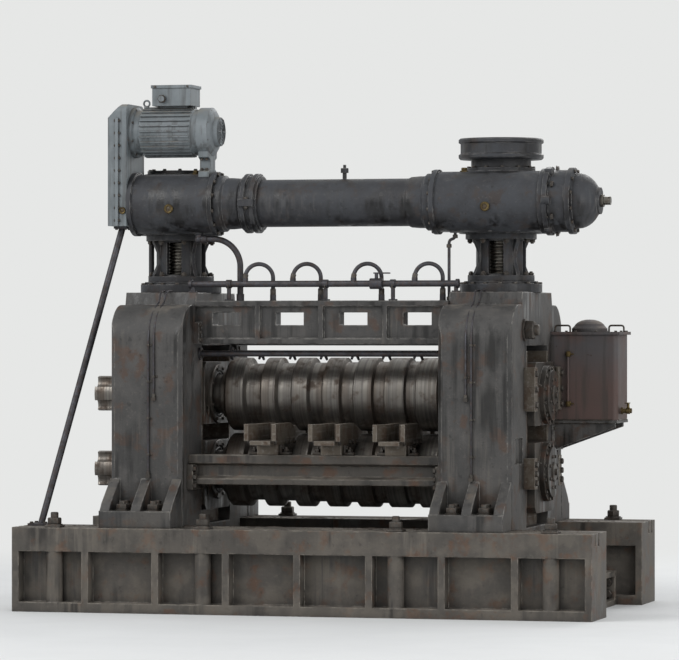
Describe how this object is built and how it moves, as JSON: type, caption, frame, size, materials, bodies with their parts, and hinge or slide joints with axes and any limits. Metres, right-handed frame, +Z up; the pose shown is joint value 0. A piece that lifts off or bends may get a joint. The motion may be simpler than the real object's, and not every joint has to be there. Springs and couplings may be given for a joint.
{
  "type": "rolling mill stand",
  "caption": "Two-high rolling mill stand: closed housings on sole plates, grooved rolls in chocks, guides, and a motor-driven worm screwdown on top.",
  "frame": {"origin": "on the floor, under the middle of the central base tie, midway between the housings", "axes": "+X along the rolls towards the free side, +Y along the pass, +Z up"},
  "size_m": [4.2, 2.32, 3.766],
  "materials": {
    "cast_housing": "dark oily casting",
    "cast_base": "dusty scaled casting",
    "cast_drive": "dark painted casting",
    "chock_steel": "greasy cast steel",
    "roll_steel": "ground and heat stained",
    "bright_steel": "turned, oiled",
    "wear_plate": "worn plate",
    "drive_paint": "faded grey paint",
    "pipe_steel": "sooty pipe",
    "tank_paint": "dark red-brown paint"
  },
  "bodies": {
    "stand": {"sole_plate_front": "cast_base", "sole_plate_back": "cast_base", "base_ties": "cast_base", "housing_left": "cast_housing", "housing_right": "cast_housing", "window_liners": "wear_plate", "chock_rests": "wear_plate", "bottom_chock_left": "chock_steel", "bottom_chock_right": "chock_steel", "chock_keepers": "wear_plate", "separator_beam": "cast_housing", "separator_tubes": "cast_housing", "guide_beam_front": "cast_base", "guide_beam_back": "cast_base", "entry_guides": "wear_plate", "exit_guides": "wear_plate", "screw_nut_left": "cast_drive", "screw_nut_right": "cast_drive", "lantern_left": "cast_drive", "lantern_right": "cast_drive", "gearbox_left": "cast_drive", "gearbox_right": "cast_drive", "indicator_drum": "cast_drive", "cross_shaft_tube": "cast_drive", "shaft_collar": "cast_drive", "brake_cover": "cast_drive", "shaft_stub": "bright_steel", "end_gearcase": "drive_paint", "screwdown_motor": "drive_paint", "motor_terminal_box": "drive_paint", "motor_foot": "drive_paint", "stay_pipe": "pipe_steel", "header_pipe": "pipe_steel", "cooling_pipes": "pipe_steel", "oil_pipe": "pipe_steel", "spray_bars": "pipe_steel", "side_tank": "tank_paint", "tank_lid": "tank_paint", "tank_bracket": "cast_housing"},
    "top_roll_set": {"screws": "bright_steel", "breaker_blocks": "bright_steel", "top_chock_left": "chock_steel", "top_chock_right": "chock_steel"},
    "top_roll": {"top_roll": "roll_steel"},
    "bottom_roll": {"bottom_roll": "roll_steel"}
  },
  "joints": [
    {"name": "screwdown", "type": "slide", "parent": "stand", "child": "top_roll_set", "axis": [0, 0, 1], "range_m": [0, 0.09]},
    {"name": "top_roll_spin", "type": "hinge", "parent": "top_roll_set", "child": "top_roll", "pos_m": [0, 0, 1.535], "axis": [1, 0, 0], "continuous": true},
    {"name": "bottom_roll_spin", "type": "hinge", "parent": "stand", "child": "bottom_roll", "pos_m": [0, 0, 0.985], "axis": [1, 0, 0], "continuous": true}
  ]
}
